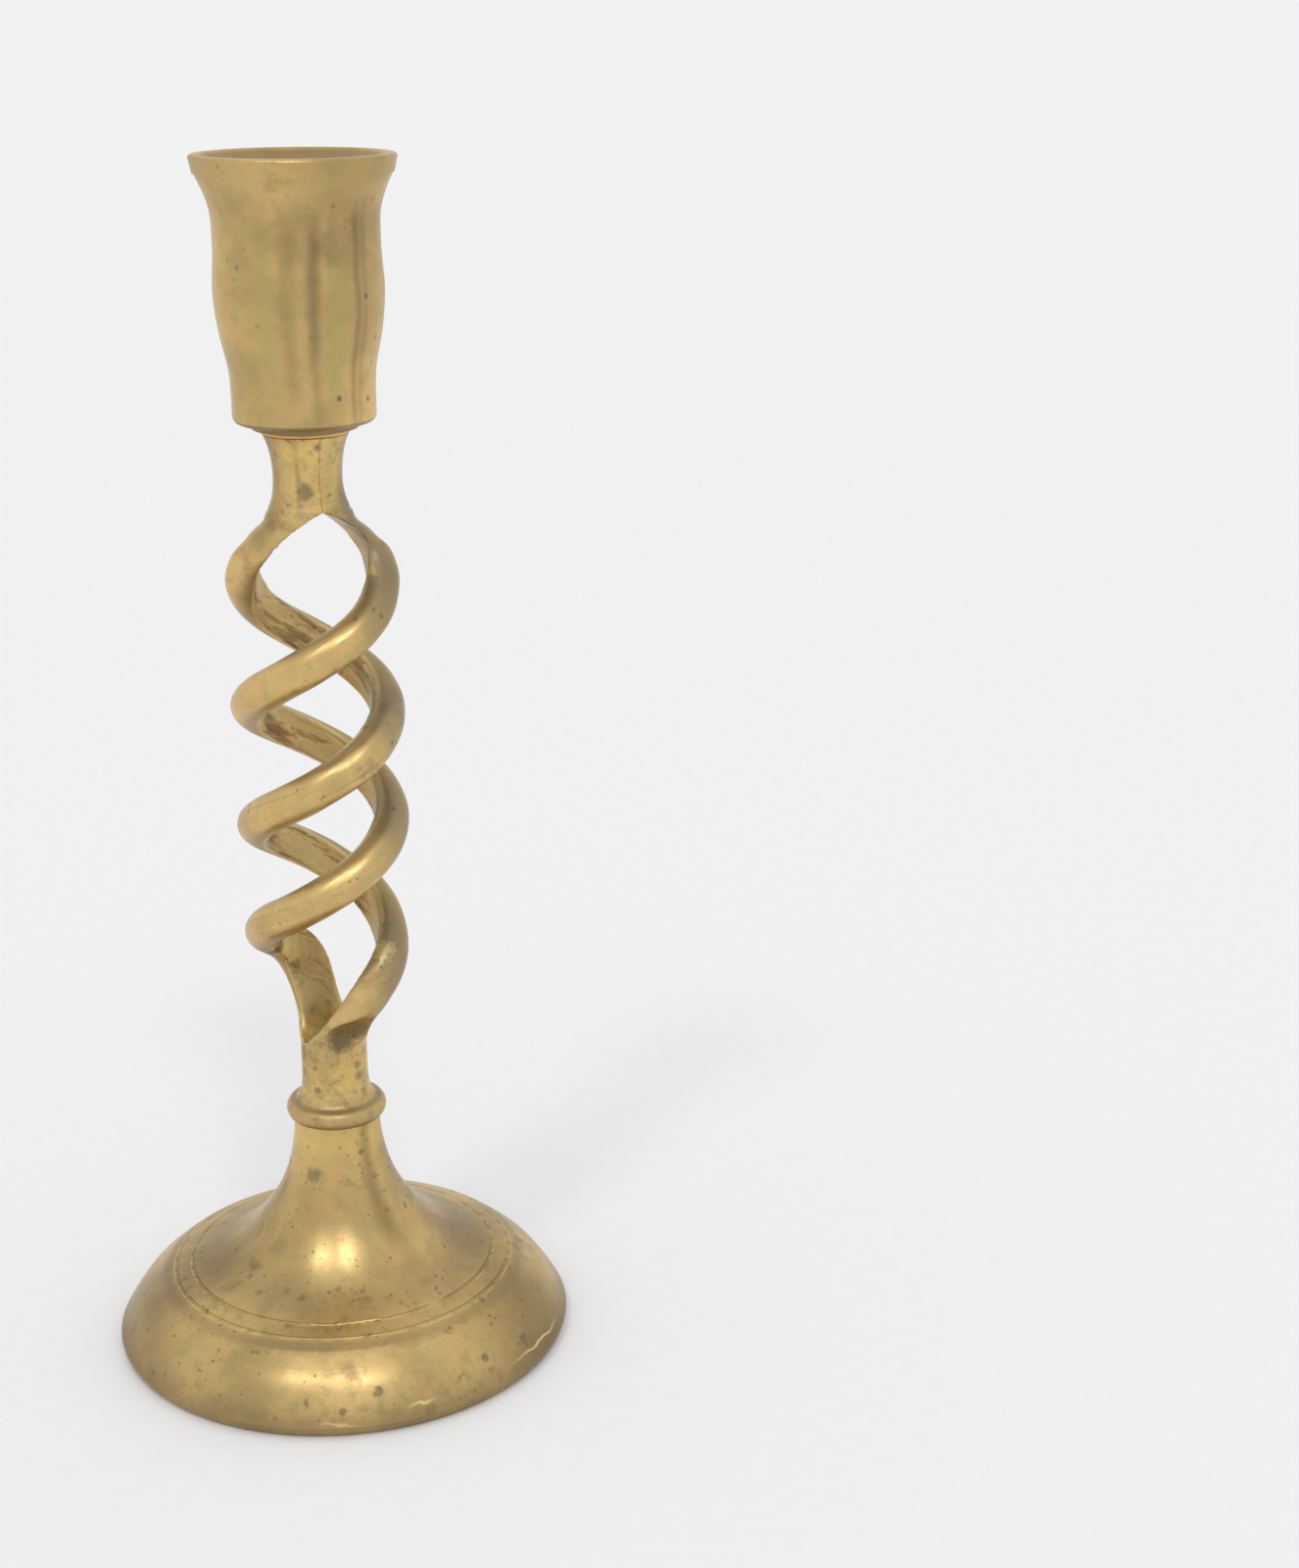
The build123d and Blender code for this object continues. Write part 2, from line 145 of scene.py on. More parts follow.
bpy.ops.mesh.primitive_grid_add(x_subdivisions=4, y_subdivisions=4, size=FLOOR_SIZE, location=(0, 0, 0))
floor = bpy.context.object
floor.name = "floor"
paper = Finish(bpy.data.materials.new("floor_paper"))
paper_place = paper.add("TexCoord", output="Object")
grain = paper.noise(paper_place, FLOOR_GRAIN_SCALE, 4)
paper_tone = paper.blend(paper.step(grain, 0.3, 0.7, 0, 0.3), tone(*FLOOR_TONE), tone(*FLOOR_GRAIN_TONE))
paper_bump = paper.add("Bump", {"Height": grain, "Strength": 0.2, "Distance": FLOOR_GRAIN_HEIGHT})
paper_face = paper.add("BsdfPrincipled", {"Base Color": paper_tone, "Roughness": 0.9, "Normal": paper_bump})
paper_far = paper.add("Emission", {"Color": tone(*SURROUND_TONE), "Strength": 1.0})
paper_away = paper.add("VectorMath", {0: paper_place}, output="Value", operation="LENGTH")
paper_fade = paper.step(paper_away, *FLOOR_FADE)
paper_seen = paper.add("MixShader", {0: paper_fade, 1: paper_face, 2: paper_far})
paper.add("OutputMaterial", {"Surface": paper_seen})
floor.data.materials.append(paper.owner)

# The camera and the reflections see the white surround, and the holder is lit by the plain ambient light.
surround = Finish(bpy.data.worlds.new("surround"))
bpy.context.scene.world = surround.owner
seen = surround.add("LightPath", output="Is Camera Ray")
for ray in ("Is Glossy Ray", "Is Transmission Ray"):
    seen = surround.sum("MAXIMUM", seen, surround.add("LightPath", output=ray))
shown = surround.add("Background", {"Color": tone(*SURROUND_TONE), "Strength": 1.0})
light = surround.add("Background", {"Color": (1, 1, 1, 1), "Strength": AMBIENT})
surround_face = surround.add("MixShader", {0: seen, 1: light, 2: shown})
surround.add("OutputWorld", {"Surface": surround_face})

for lamp_name, azimuth, height, width, power in LAMPS:
    lamp_data = bpy.data.lights.new(lamp_name, "SUN")
    lamp_data.energy = power
    lamp_data.angle = math.radians(width)
    lamp = bpy.data.objects.new(lamp_name, lamp_data)
    lamp.rotation_mode = "XYZ"
    lamp.rotation_euler = (math.radians(90 - height), 0, math.radians(azimuth))
    bpy.context.scene.collection.objects.link(lamp)


# The base: cast and turned brass, a bell that runs out to a domed rim, hollow underneath. It has stood
# for years, so it is spotted with brown and grey, darker and duller in the valley, and scratched at the rim
# where it has been wiped and knocked. Its two scribed lines have bright edges. Painted shade lies inside
# its rim, along its bottom and down its sides, and a painted reflection at its right front.
BRASS_LIGHT = tone(219, 187, 125)
BRASS_DEEP = tone(182, 156, 105)
BRASS_GREEN = tone(176, 166, 103)
BRASS_ORANGE = tone(218, 166, 108)
BRASS_PALE = tone(240, 218, 152)
BRASS_YELLOW = tone(230, 200, 112)
TARNISH_AND_SHADE = tone(106, 88, 62)
SPOT_GREY = tone(98, 86, 68)
# A mark in one of these tones only tints, as a polished place or a painted highlight; any other mark also
# dulls, as a stain or painted shade.
POLISH_AND_HIGHLIGHT_TONES = (BRASS_PALE, BRASS_YELLOW)
# The share of a mark's radius within which it has its full strength.
MARK_CORE = 0.3
# Over so many millimetres a streak starts and ends, and so far it wanders, in radians.
STREAK_END = 3
STREAK_WANDER = 0.03
# A scratch is palest up to its core's half width, and gone at its edge.
SCRATCH_CORE = 0.08 * MM
SCRATCH_EDGE = 0.26 * MM
# How many patches to the metre each pattern of the brass has.
FINE_SCALE = 420
CLOUD_SCALE = 55
STAIN_SCALE = 110
WANDER_SCALE = 70
WAVE_SCALE = 130
LATHE_SCALE = 3200
# Clean brass is this much metal. A fully worn place loses some of that, and gets rougher.
METAL = 0.96
WORN_METAL = 0.5
WORN_ROUGHNESS = 0.16
BRASS_BUMP = 0.03 * MM
# The radii of the two scribed lines, and how far outside each its bright edge lies, in millimetres.
LINE_RADII = (26.05, 28.95)
LINE_EDGE = 0.22


class Brass(Finish):
    """Old satin brass: a mottled ground that tarnish, specks and marks are laid over in turn."""

    def __init__(self, name, roughness, clouding=0.5):
        super().__init__(bpy.data.materials.new(name))
        self.roughness = roughness
        self.place = self.add("TexCoord", output="Object")
        self.x, self.y, self.z = self.add("SeparateXYZ", {0: self.place}).node.outputs
        self.flat = self.add("CombineXYZ", {0: self.x, 1: self.y})
        self.radius = self.add("VectorMath", {0: self.flat}, output="Value", operation="LENGTH")
        self.angle = self.sum("ARCTAN2", self.x, self.times(self.y, -1.0))
        self.fine = self.noise(self.place, FINE_SCALE, 5, 0.65)
        self.wander = self.step(self.noise(self.place, WANDER_SCALE, 2), 0.2, 0.8, -1, 1)
        clouds = self.step(self.noise(self.place, CLOUD_SCALE, 5, 0.6), 0.36, 0.64)
        tint = self.noise(self.place, FINE_SCALE, 6, 0.75)
        stains = self.noise(self.place, STAIN_SCALE, 6, 0.62)
        self.colour = self.blend(clouds, BRASS_DEEP, BRASS_LIGHT)
        self.lay(BRASS_ORANGE, self.step(tint, 0.5, 0.72, 0, 0.6))
        self.lay(BRASS_GREEN, self.step(tint, 0.5, 0.3, 0, 0.6))
        self.height = self.step(self.fine, 0.2, 0.8, 0, 0.5)
        self.worn = None
        self.wear(TARNISH_AND_SHADE, self.step(stains, 0.56, 0.72, 0, clouding))

    def lay(self, colour, share):
        """Tints the surface by a share."""
        self.colour = self.blend(share, self.colour, colour)

    def wear(self, colour, share):
        """Tints the surface, and leaves it duller and rougher there."""
        self.lay(colour, share)
        self.worn = share if self.worn is None else self.sum("MAXIMUM", self.worn, share)

    def specks(self, scale, gate, strength):
        """Small dark specks, in loose groups."""
        cells = self.add("TexVoronoi", {"Vector": self.place, "Scale": scale, "Randomness": 1.0})
        groups = self.step(self.noise(self.place, scale / 3, 2), gate, gate + 0.12)
        ragged = self.sum("ADD", cells, self.step(self.fine, 0.3, 0.7, -0.12, 0.12))
        dots = self.times(self.step(ragged, 0.22, 0.08, 0, strength), groups)
        self.wear(SPOT_GREY, dots)
        self.height = self.sum("SUBTRACT", self.height, dots)

    def marks(self, spots, colour=SPOT_GREY, ragged=0.5):
        """Stains, polished places, painted shade or painted highlights of ragged outline, as (x, y, z,
        radius, strength), in millimetres.
        """
        put = self.lay if colour in POLISH_AND_HIGHLIGHT_TONES else self.wear
        for x, y, z, radius, strength in spots:
            middle = (x * MM, y * MM, z * MM)
            size = radius * MM
            away = self.add(
                "VectorMath", {0: self.place, 1: middle}, output="Value", operation="DISTANCE"
            )
            swing = self.step(self.fine, 0.2, 0.8, -ragged * size, ragged * size)
            edge = self.sum("ADD", away, swing)
            put(colour, self.step(edge, size, MARK_CORE * size, 0, strength))

    def streak(self, azimuth, half_width, strength, low, high, colour=TARNISH_AND_SHADE):
        """A soft streak up the piece at one azimuth, in degrees from the front towards +X."""
        turned = self.sum("ADD", self.angle, self.times(self.wander, STREAK_WANDER))
        off = self.gap(turned, math.radians(azimuth))
        share = self.step(off, math.radians(half_width), 0.0, 0, strength)
        starts = self.step(self.z, (low - STREAK_END) * MM, (low + STREAK_END) * MM)
        ends = self.step(self.z, (high + STREAK_END) * MM, (high - STREAK_END) * MM)
        self.lay(colour, self.times(self.times(share, starts), ends))

    def band(self, measure, low, high, blur, colour, strength):
        """A band between two radii or heights, in millimetres, with blurred and uneven borders."""
        swing = 0.4 * blur * MM
        uneven = self.sum("ADD", measure, self.step(self.fine, 0.2, 0.8, -swing, swing))
        starts = self.step(uneven, (low - blur) * MM, (low + blur) * MM, 0, strength)
        ends = self.step(uneven, (high + blur) * MM, (high - blur) * MM)
        self.wear(colour, self.times(starts, ends))

    def scratch(self, azimuth, half_length, height, strength, swing=0.8):
        """A thin pale line at about one height, that wanders up and down by a swing in millimetres."""
        wave = self.step(self.noise(self.place, WAVE_SCALE, 3), 0.3, 0.7, -1, 1)
        off = self.gap(self.sum("ADD", self.z, self.times(wave, swing * MM)), height * MM)
        line = self.step(off, SCRATCH_EDGE, SCRATCH_CORE, 0, strength)
        along = self.gap(self.angle, math.radians(azimuth))
        self.lay(BRASS_PALE, self.times(line, self.step(along, math.radians(half_length), 0.0)))

    def lathe_lines(self):
        """Fine rings left by the lathe."""
        rings = self.noise(self.add("CombineXYZ", {0: self.radius, 1: self.z}), LATHE_SCALE, 2)
        self.height = self.sum("ADD", self.height, self.times(rings, 0.5))

    def done(self, bump=BRASS_BUMP):
        """Joins it all to the shader and returns the material."""
        smooth = self.step(self.fine, 0.3, 0.7, self.roughness - 0.04, self.roughness + 0.06)
        face = self.add(
            "BsdfPrincipled",
            {
                "Base Color": self.colour,
                "Metallic": self.sum("SUBTRACT", METAL, self.times(self.worn, WORN_METAL)),
                "Roughness": self.sum("ADD", smooth, self.times(self.worn, WORN_ROUGHNESS)),
                "Normal": self.add("Bump", {"Height": self.height, "Strength": 0.5, "Distance": bump}),
            },
        )
        self.add("OutputMaterial", {"Surface": face})
        return self.owner


def give_finish(node, material):
    """Gives a CAD piece its material."""
    mesh = nodes[node].data
    mesh.materials.clear()
    mesh.materials.append(material)


base_brass = Brass("base_brass_finish", 0.31)
# Painted shade in the hollow inside the rim and along the bottom edge; darker and duller between the scribed
# lines and in the valley.
base_brass.band(base_brass.radius, 29.4, 31.4, 0.8, TARNISH_AND_SHADE, 0.36)
base_brass.band(base_brass.radius, 26.3, 28.6, 0.3, TARNISH_AND_SHADE, 0.15)
base_brass.band(base_brass.radius, 18.0, 25.8, 3.0, TARNISH_AND_SHADE, 0.36)
base_brass.band(base_brass.z, 0.0, 4.0, 2.5, TARNISH_AND_SHADE, 0.5)
base_brass.band(base_brass.z, 0.0, 12.0, 2.5, TARNISH_AND_SHADE, 0.14)
# Painted shade down the sides, and a pale edge to each scribed line.
base_brass.streak(72, 36, 0.6, -5, 13)
base_brass.streak(-72, 32, 0.5, -5, 30)
base_brass.streak(95, 40, 0.45, 14, 40)
for line_radius in LINE_RADII:
    off_line = base_brass.gap(base_brass.radius, (line_radius + LINE_EDGE) * MM)
    bright = base_brass.step(off_line, 0.3 * MM, 0.1 * MM, 0, 0.45)
    patchy = base_brass.step(base_brass.fine, 0.42, 0.62, 0.1, 1)
    base_brass.lay(BRASS_PALE, base_brass.times(bright, patchy))
base_brass.band(base_brass.z, 35.5, 39.0, 1.5, BRASS_YELLOW, 0.4)
# Specks all over, the larger spots where they lie on the real one, and the three scratches of the rim.
base_brass.specks(300, 0.47, 0.6)
base_brass.specks(620, 0.43, 0.55)
# A dark painted reflection up the bell at the right front.
base_brass.streak(45, 15, 0.45, 20, 45)
base_brass.marks(
    [
        (-3.5, -7.7, 31.7, 1.7, 0.55),
        (-13.5, -12.7, 17.0, 2.2, 0.5),
        (-4.4, -20.6, 15.5, 1.4, 0.5),
        (-4.4, -6.1, 36.2, 0.6, 0.6),
        (-9.3, -11.4, 20.4, 2.4, 0.25),
        (-12.2, -18.0, 15.1, 1.0, 0.4),
        (6.5, -20.5, 15.3, 1.3, 0.35),
        (32.5, -17.2, 5.6, 1.4, 0.5),
        (17.6, -34.3, 2.7, 1.6, 0.4),
        (1.5, -19.3, 16.4, 0.9, 0.4),
    ]
)
base_brass.scratch(67, 17, 3.7, 0.75, 0.35)
base_brass.scratch(26, 5, 3.7, 0.7)
base_brass.scratch(5, 7, 2.2, 0.4)
base_brass.lathe_lines()
give_finish("base", base_brass.done())

# The bolt and its washer: zinc-plated steel, gone dull. The bolt comes up through the hollow of the
# base into the foot of the stem and holds the two together, and both show only from underneath.
ZINC_PALE = tone(170, 168, 162)
ZINC_DULL = tone(120, 116, 108)
ZINC_BLOOM_SCALE = 700
ZINC_BUMP = 0.03 * MM
zinc = Finish(bpy.data.materials.new("bolt_steel_finish"))
zinc_bloom = zinc.noise(zinc.add("TexCoord", output="Object"), ZINC_BLOOM_SCALE, 5, 0.6)
zinc_face = zinc.add(
    "BsdfPrincipled",
    {
        "Base Color": zinc.blend(zinc.step(zinc_bloom, 0.4, 0.7), ZINC_PALE, ZINC_DULL),
        "Metallic": 0.9,
        "Roughness": zinc.step(zinc_bloom, 0.3, 0.7, 0.35, 0.6),
        "Normal": zinc.add("Bump", {"Height": zinc_bloom, "Strength": 0.4, "Distance": ZINC_BUMP}),
    },
)
zinc.add("OutputMaterial", {"Surface": zinc_face})
give_finish("base_bolt", zinc.owner)
give_finish("base_washer", zinc.owner)

# The stem: two brass castings brazed face to face at the foot and the neck, each drawn out between them
# into a strand that is D-shaped, filed smooth on its round back and left rough from the mould inside.
# The strands part above the foot, where each leaves it with a heel, and join again under the neck.
OPEN_LOW = 58 * MM
OPEN_HIGH = 143 * MM
FADE_RUN = 4 * MM
# The strands turn by so many degrees in a millimetre of height.
TWIST_RATE = 9.35
# The skin is made again from cubes of so many millimetres, and filed round by so many passes.
SKIN_VOXEL = 0.26
FILED_ROUNDS = 8
FILED_FACTOR = 0.5
WELD_GAP = 1e-7
# The notches under the two heels are filed more, the front one by a share of it. The heels lie this far
# round from straight front and back, and what is near the plane between them is left as it is.
HEEL_ROUNDS = 55
HEEL_LOW = 48.5 * MM
HEEL_HIGH = 67 * MM
HEEL_CLEAR = 1.5 * MM
HEEL_AZIMUTH = math.radians(35)
FRONT_HEEL_SHARE = 0.6
# The foot and the neck go back by this share to their rough shape, so that their edges stay sharp. Their
# brazed faces, which lean towards the axis by less than this, are closed up by so much.
SEAM_KEPT = 0.85
SEAM_CLOSED = 0.14 * MM
SEAM_LEAN = 0.6
# Faint lumps of the casting, and the grit of the mould, each with its number of bumps to the metre.
LUMP = 0.10 * MM
LUMP_SCALE = 170
GRIT = 0.05 * MM
GRIT_SCALE = 900
# The patterns of the cast skin, of the filed backs and of the inner faces: how many patches they have to
# the metre, and how the last two are drawn out along the strands, by a share on each axis.
CAST_SCALE = 430
FILED_SCALE = 700
FILED_STRETCH = (1, 1, 0.12)
MOULD_SCALE = 230
MOULD_STRETCH = (1, 1, 0.6)
# The heights between which the finish of the strands comes in, and goes out again.
STRANDS_START = (54 * MM, 60 * MM)
STRANDS_END = (146 * MM, 140 * MM)
STEM_BUMP = 0.04 * MM
MOULD_GREEN = tone(166, 154, 114)
MOULD_BROWN = tone(134, 106, 68)
SHADE_GREY = tone(120, 112, 98)
HOLLOW_SHADE = tone(92, 78, 50)
FLANK_SHADE = tone(138, 116, 76)
BEAD_DULL = tone(160, 138, 98)


def settled(piece):
    """Gives the piece the mesh that its modifiers make of it, and returns that mesh."""
    bpy.context.view_layer.update()
    piece.data = bpy.data.meshes.new_from_object(piece.evaluated_get(bpy.context.evaluated_depsgraph_get()))
    piece.modifiers.clear()
    return piece.data


def reskinned(piece):
    """Makes the piece's skin again from small even cubes, in millimetres, and returns its new mesh."""
    welded = bmesh.new()
    welded.from_mesh(piece.data)
    bmesh.ops.remove_doubles(welded, verts=welded.verts, dist=WELD_GAP)
    welded.to_mesh(piece.data)
    welded.free()
    piece.data.transform(Matrix.Scale(1 / MM, 4))
    skin = piece.modifiers.new("skin", "REMESH")
    skin.mode = "VOXEL"
    skin.voxel_size = SKIN_VOXEL
    return settled(piece)


def filed(piece, rounds):
    """Files the piece round all over, by so many passes, and returns its new mesh."""
    file_pass = piece.modifiers.new("filed", "SMOOTH")
    file_pass.factor = FILED_FACTOR
    file_pass.iterations = rounds
    return settled(piece)


def ease(share):
    """The share, held between nothing and one."""
    return min(1, max(0, share))


def fade(height, low, high):
    """One between two heights, falling to nothing at each over a few millimetres."""
    return ease((height - low) / FADE_RUN) * ease((high - height) / FADE_RUN)


def at_seam(place, rough_place, lift):
    """A filed point, taken back near its rough place at the foot and the neck, with the seam closed."""
    if OPEN_LOW < place.z < OPEN_HIGH:
        return place
    sideways = place.to_2d().normalized().dot(lift.to_2d())
    closed = SEAM_CLOSED * max(0, 1 - abs(lift.z)) * max(0, 1 - abs(sideways) / SEAM_LEAN)
    return place.lerp(rough_place, SEAM_KEPT) + lift * closed


def heel_share(place):
    """How far a point lies in the notch under a heel, from nothing to one."""
    behind = place.y * math.cos(HEEL_AZIMUTH) - place.x * math.sin(HEEL_AZIMUTH)
    share = fade(place.z, HEEL_LOW, HEEL_HIGH) * ease((abs(behind) - HEEL_CLEAR) / HEEL_CLEAR)
    return share if behind > 0 else share * FRONT_HEEL_SHARE


def relief(place, normal):
    """How far the skin of a strand stands out: faint lumps, and grit where it faces the axis."""
    inside = -normal.to_2d().dot(place.to_2d().normalized())
    lump = noise.noise(place * LUMP_SCALE) * LUMP
    grit = noise.noise(place * GRIT_SCALE) * GRIT * ease(inside * 2)
    return (lump + grit - LUMP / 2) * fade(place.z, OPEN_LOW, OPEN_HIGH)


def cast_half(name, node):
    """The casting with its edges filed round, faint lumps on its back and grit on its inner face."""
    piece = bpy.data.objects.new(name, nodes[node].data.copy())
    bpy.context.scene.collection.objects.link(piece)
    rough = reskinned(piece)
    even = filed(piece, FILED_ROUNDS)
    mesh = filed(piece, HEEL_ROUNDS)
    lifts = [vertex.normal.copy() for vertex in even.vertices]
    for vertex, before, after, lift in zip(mesh.vertices, rough.vertices, even.vertices, lifts):
        place = at_seam(after.co * MM, before.co * MM, lift)
        vertex.co = place.lerp(vertex.co * MM, heel_share(place))
    skin_points = [(vertex.co.copy(), vertex.normal.copy()) for vertex in mesh.vertices]
    for vertex, (place, normal) in zip(mesh.vertices, skin_points):
        vertex.co = place + normal * relief(place, normal)
    mesh.materials.clear()
    for face in mesh.polygons:
        face.use_smooth = True
    return piece


stem_brass = Brass("stem_brass_finish", 0.33)
# One where the surface faces away from the axis, and minus one on the strands' inner faces.
surface = stem_brass.add("TexCoord", output="Normal")
outward = stem_brass.add("VectorMath", {0: stem_brass.flat}, operation="NORMALIZE")
facing = stem_brass.add("VectorMath", {0: surface, 1: outward}, output="Value", operation="DOT_PRODUCT")
# The place with the twist taken out, so that what is drawn out upwards follows the strands.
untwist = stem_brass.times(stem_brass.z, -math.radians(TWIST_RATE) / MM)
untwisted = stem_brass.add(
    "VectorRotate", {"Vector": stem_brass.place, "Angle": untwist}, rotation_type="Z_AXIS"
)
above_foot = stem_brass.step(stem_brass.z, *STRANDS_START)
below_neck = stem_brass.step(stem_brass.z, *STRANDS_END)
open_part = stem_brass.times(above_foot, below_neck)
closed_part = stem_brass.sum("SUBTRACT", 1.0, open_part)
# The cast skin of the foot and the neck.
cast_skin = stem_brass.noise(stem_brass.place, CAST_SCALE, 6, 0.72)
cast_yellow = stem_brass.step(cast_skin, 0.51, 0.64, 0, 0.6)
cast_brown = stem_brass.step(cast_skin, 0.47, 0.35, 0, 0.6)
stem_brass.lay(BRASS_YELLOW, stem_brass.times(cast_yellow, closed_part))
stem_brass.wear(MOULD_BROWN, stem_brass.times(cast_brown, closed_part))
# The file marks along the strands, and painted shade on their sides.
filed_place = stem_brass.add("VectorMath", {0: untwisted, 1: FILED_STRETCH}, operation="MULTIPLY")
drawn = stem_brass.noise(filed_place, FILED_SCALE, 4, 0.6)
pale_lines = stem_brass.step(drawn, 0.56, 0.8, 0, 0.35)
dark_lines = stem_brass.step(drawn, 0.45, 0.25, 0, 0.35)
stem_brass.lay(BRASS_PALE, stem_brass.times(pale_lines, open_part))
stem_brass.wear(TARNISH_AND_SHADE, stem_brass.times(dark_lines, open_part))
shaded_flanks = stem_brass.step(facing, 0.86, 0.2, 0, 0.5)
stem_brass.wear(FLANK_SHADE, stem_brass.times(shaded_flanks, open_part))
# The inner faces as they came out of the mould, and a pale line along the corner where the filing stops,
# worn bright and partly a painted highlight.
inner_face = stem_brass.times(stem_brass.step(facing, -0.2, -0.6), open_part)
mould_place = stem_brass.add("VectorMath", {0: untwisted, 1: MOULD_STRETCH}, operation="MULTIPLY")
mould_skin = stem_brass.noise(mould_place, MOULD_SCALE, 6, 0.66)
mould_patches = (
    (BRASS_LIGHT, 0.42, 0.5, 0.8),
    (BRASS_YELLOW, 0.55, 0.66, 0.7),
    (MOULD_GREEN, 0.5, 0.54, 0.4),
    (MOULD_BROWN, 0.48, 0.34, 0.75),
)
for mould_tone, low, high, strength in mould_patches:
    patches = stem_brass.step(mould_skin, low, high, 0, strength)
    stem_brass.lay(mould_tone, stem_brass.times(inner_face, patches))
corner = stem_brass.step(stem_brass.gap(facing, -0.3), 0.2, 0.02, 0, 0.5)
stem_brass.lay(BRASS_PALE, stem_brass.times(corner, open_part))
# The dull bead round the foot, with painted shade in its two creases.
stem_brass.band(stem_brass.z, 42.9, 43.5, 0.25, TARNISH_AND_SHADE, 0.6)
stem_brass.band(stem_brass.z, 39.9, 40.5, 0.3, TARNISH_AND_SHADE, 0.7)
stem_brass.band(stem_brass.z, 40.0, 44.5, 0.8, BEAD_DULL, 0.45)
# Painted shade down the strands' right side and down both sides of the neck, and two narrow streaks, one
# green, down the neck.
stem_brass.streak(85, 55, 0.6, 58, 150, SHADE_GREY)
stem_brass.streak(-58, 30, 0.5, 140, 160)
stem_brass.streak(86, 34, 0.45, 143, 160)
stem_brass.streak(46, 16, 0.4, 146, 160, BRASS_GREEN)
stem_brass.streak(-8, 7, 0.35, 146, 156)
stem_brass.specks(500, 0.48, 0.55)
# The smudge and the spots of the neck, and the spots of the foot.
stem_brass.marks(
    [
        (0.4, -5.6, 149.1, 1.9, 0.65),
        (2.6, -5.8, 156.1, 1.0, 0.5),
        (1.4, -5.8, 155.4, 0.6, 0.5),
        (4.3, -3.5, 50.6, 1.5, 0.6),
        (4.4, -3.4, 48.4, 1.4, 0.55),
        (-2.7, -4.9, 50.3, 0.8, 0.5),
        (-2.5, -5.1, 46.4, 0.8, 0.5),
        (-4.9, -2.6, 49.0, 1.2, 0.4),
    ]
)
# The broad flat of the back strand above the foot, brown, green and polished in places, and two painted
# highlights on the front strand.
stem_brass.marks([(-5.6, 2.4, 65.4, 3.6, 0.55), (-4.6, -2.8, 51.6, 2.2, 0.4)], MOULD_BROWN, 0.7)
stem_brass.marks([(-4.6, 3.2, 60.4, 3.8, 0.6)], MOULD_GREEN)
stem_brass.marks([(-7.2, 1.8, 69.4, 2.4, 0.6)], BRASS_YELLOW)
stem_brass.marks([(9.6, -2.8, 71.0, 2.2, 0.4), (5.8, -6.9, 64.4, 2.6, 0.25)], BRASS_PALE, 0.8)
stem_brass.marks([(-4.8, 3.0, 61.5, 4.5, 0.35)], BRASS_PALE, 0.6)
# Painted shade in the hollow where the back strand turns away at the left, and in the scoop under the front
# heel.
stem_brass.marks([(-8.9, -0.3, 70.4, 2.6, 0.8)], HOLLOW_SHADE)
stem_brass.marks([(2.2, -5.2, 55.6, 3.4, 0.85), (4.8, -3.6, 57.0, 3.0, 0.8)], HOLLOW_SHADE, 0.2)
# Brighter places of the foot, of the right strand below the neck, and of the neck itself.
stem_brass.marks(
    [
        (2.6, -5.0, 48.6, 3.4, 0.35),
        (9.7, -2.0, 135.6, 1.4, 0.35),
        (0.8, -5.6, 154.0, 3.0, 0.5),
    ],
    BRASS_YELLOW,
)
stem_metal = stem_brass.done(STEM_BUMP)
for half in ("a", "b"):
    casting = cast_half("stem_casting_" + half, "stem_half_" + half)
    casting.data.materials.append(stem_metal)
    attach(casting, "root")
    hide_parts("stem_half_" + half)

# The neck ring: a thin brass ring that the cup is screwed down on. Damp sits in the crease there, so it
# has turned a little more orange than its neighbours.
ring_brass = Brass("ring_brass_finish", 0.42)
ring_brass.lay(BRASS_ORANGE, ring_brass.step(ring_brass.fine, 0.3, 0.7, 0.1, 0.6))
give_finish("neck_ring", ring_brass.done())

# The cup: turned brass, with a flared rim band and a bore for the candle, fixed by a screw through its
# floor. Upright streaks of painted reflection run down it, and its mouth and bore hold painted shade.
cup_brass = Brass("cup_brass_finish", 0.36, 0.28)
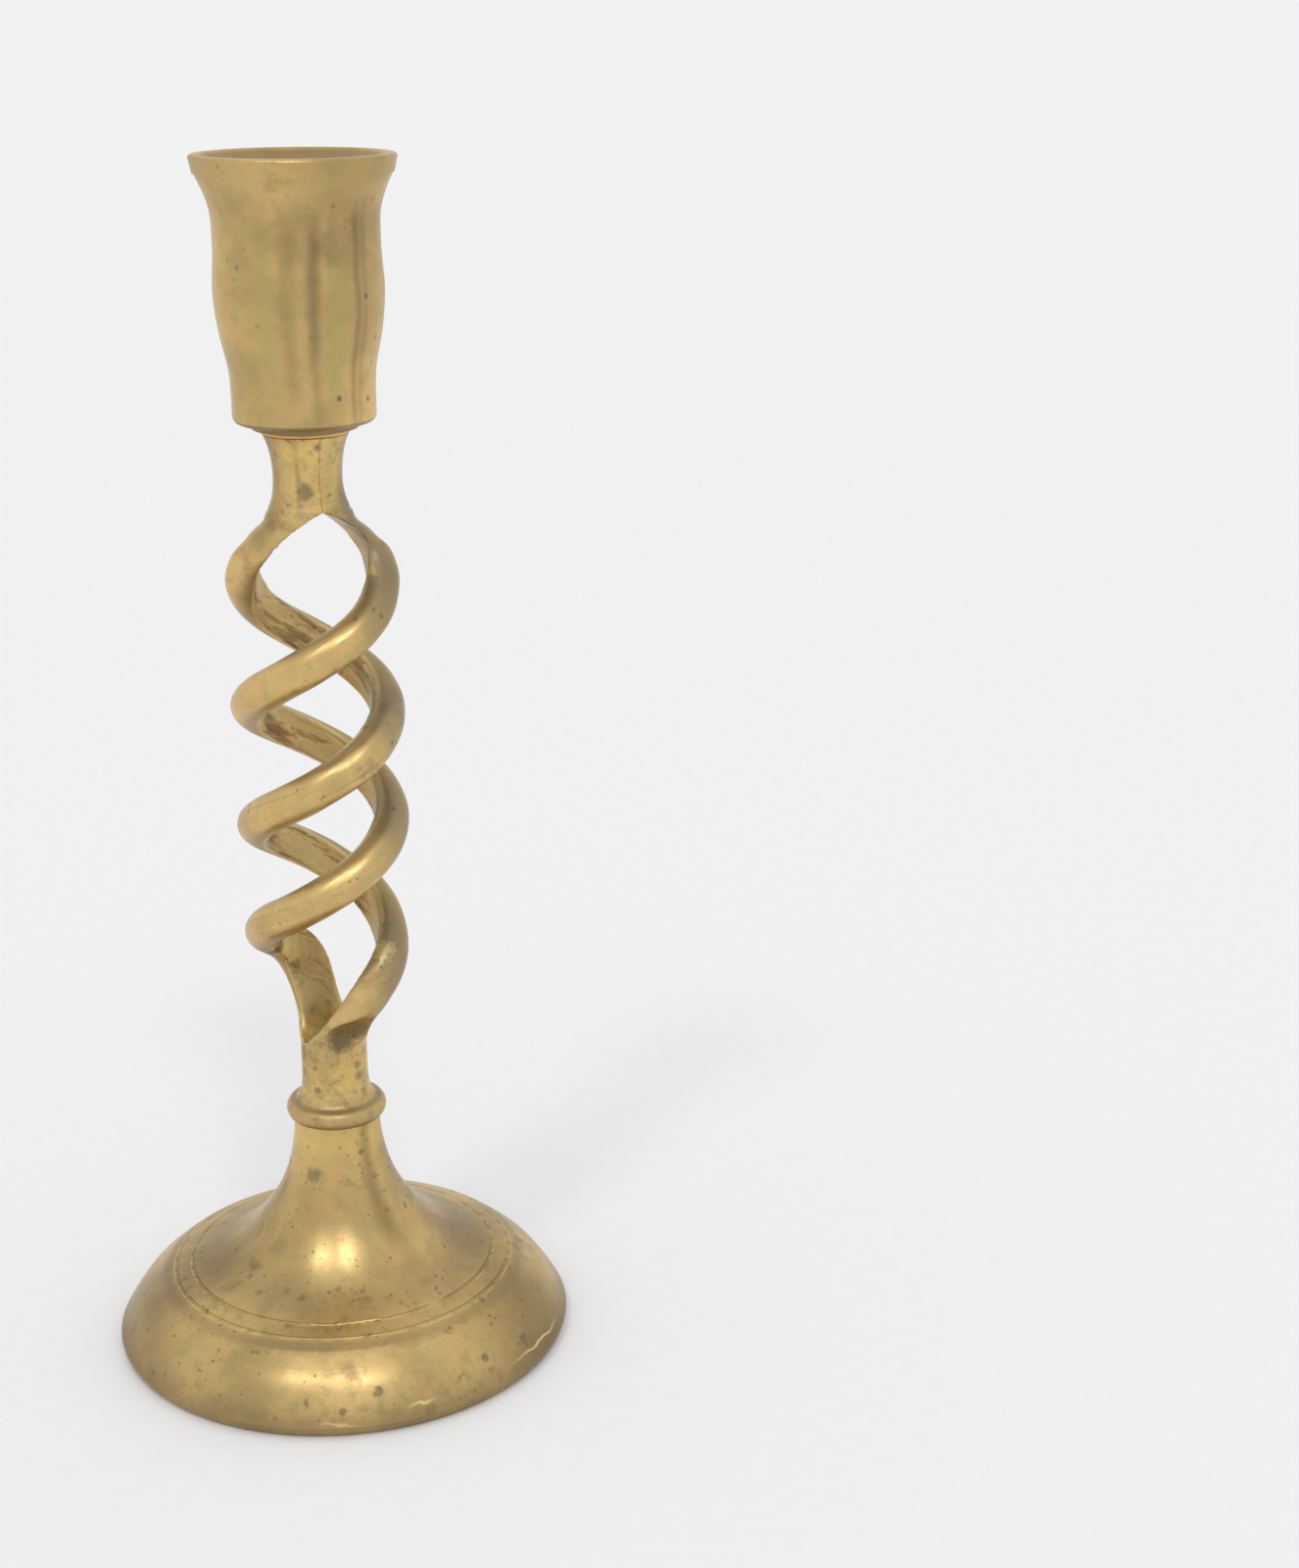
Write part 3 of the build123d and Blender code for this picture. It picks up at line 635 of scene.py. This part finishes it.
# Painted reflections: each streak's azimuth and half width in degrees, its strength, and the heights it runs
# between.
CUP_PAINTED_REFLECTIONS = [
    (18, 7, 0.25, 160, 190),
    (18, 7, 0.3, 172, 190),
    (50, 5, 0.4, 160, 193),
    (57, 6, 0.25, 160, 193),
    (0, 10, 0.25, 165, 192),
    (152, 8, 0.45, 162, 192),
    (-148, 6, 0.35, 160, 186),
    (-98, 14, 0.35, 168, 194),
    (104, 7, 0.35, 160, 188),
    (34, 11, 0.5, 162, 186, BRASS_GREEN),
    (-16, 12, 0.4, 165, 190, BRASS_GREEN),
]
for streak in CUP_PAINTED_REFLECTIONS:
    cup_brass.streak(*streak)
# Soft clouds below the rim, painted shade at the foot, a darker, duller rim, and painted shade in the mouth
# and bore.
cup_brass.marks(
    [
        (2.2, -13.2, 188.0, 7.5, 0.24),
        (8.6, -10.4, 187.5, 6.0, 0.24),
        (12.0, -6.0, 190.0, 6.0, 0.2),
    ],
    TARNISH_AND_SHADE,
    0.25,
)
cup_brass.band(cup_brass.z, 158.0, 159.3, 0.4, TARNISH_AND_SHADE, 0.15)
cup_brass.band(cup_brass.z, 190.0, 203.0, 4.0, TARNISH_AND_SHADE, 0.12)
# Painted shade inside the mouth, and down the bore.
inside_rim = cup_brass.step(cup_brass.radius, 14.4 * MM, 13.6 * MM, 0, 0.5)
near_top = cup_brass.step(cup_brass.z, 195.5 * MM, 196.5 * MM)
cup_brass.wear(TARNISH_AND_SHADE, cup_brass.times(inside_rim, near_top))
cup_brass.wear(TARNISH_AND_SHADE, cup_brass.step(cup_brass.radius, 11.25 * MM, 11.15 * MM, 0, 0.6))
# Specks, and the larger spots of the front and of the back.
cup_brass.specks(420, 0.54, 0.4)
cup_brass.marks([(6.7, -9.1, 164.3, 0.6, 0.8), (11.1, -7.2, 179.6, 0.6, 0.7), (10.5, -4.2, 163.5, 0.7, 0.6)])
cup_brass.marks([(-6.0, 10.4, 172.0, 1.2, 0.5), (-9.6, 8.8, 184.0, 0.8, 0.6), (3.0, 11.6, 166.0, 0.7, 0.6)])
cup_brass.lathe_lines()
give_finish("cup", cup_brass.done())

# The cup's screw: a slotted brass screw, put in through the floor of the cup into the neck. Its head
# lies in the well below the candle, so it shows only from straight above.
screw_brass = Brass("screw_brass_finish", 0.42)
give_finish("cup_screw", screw_brass.done())
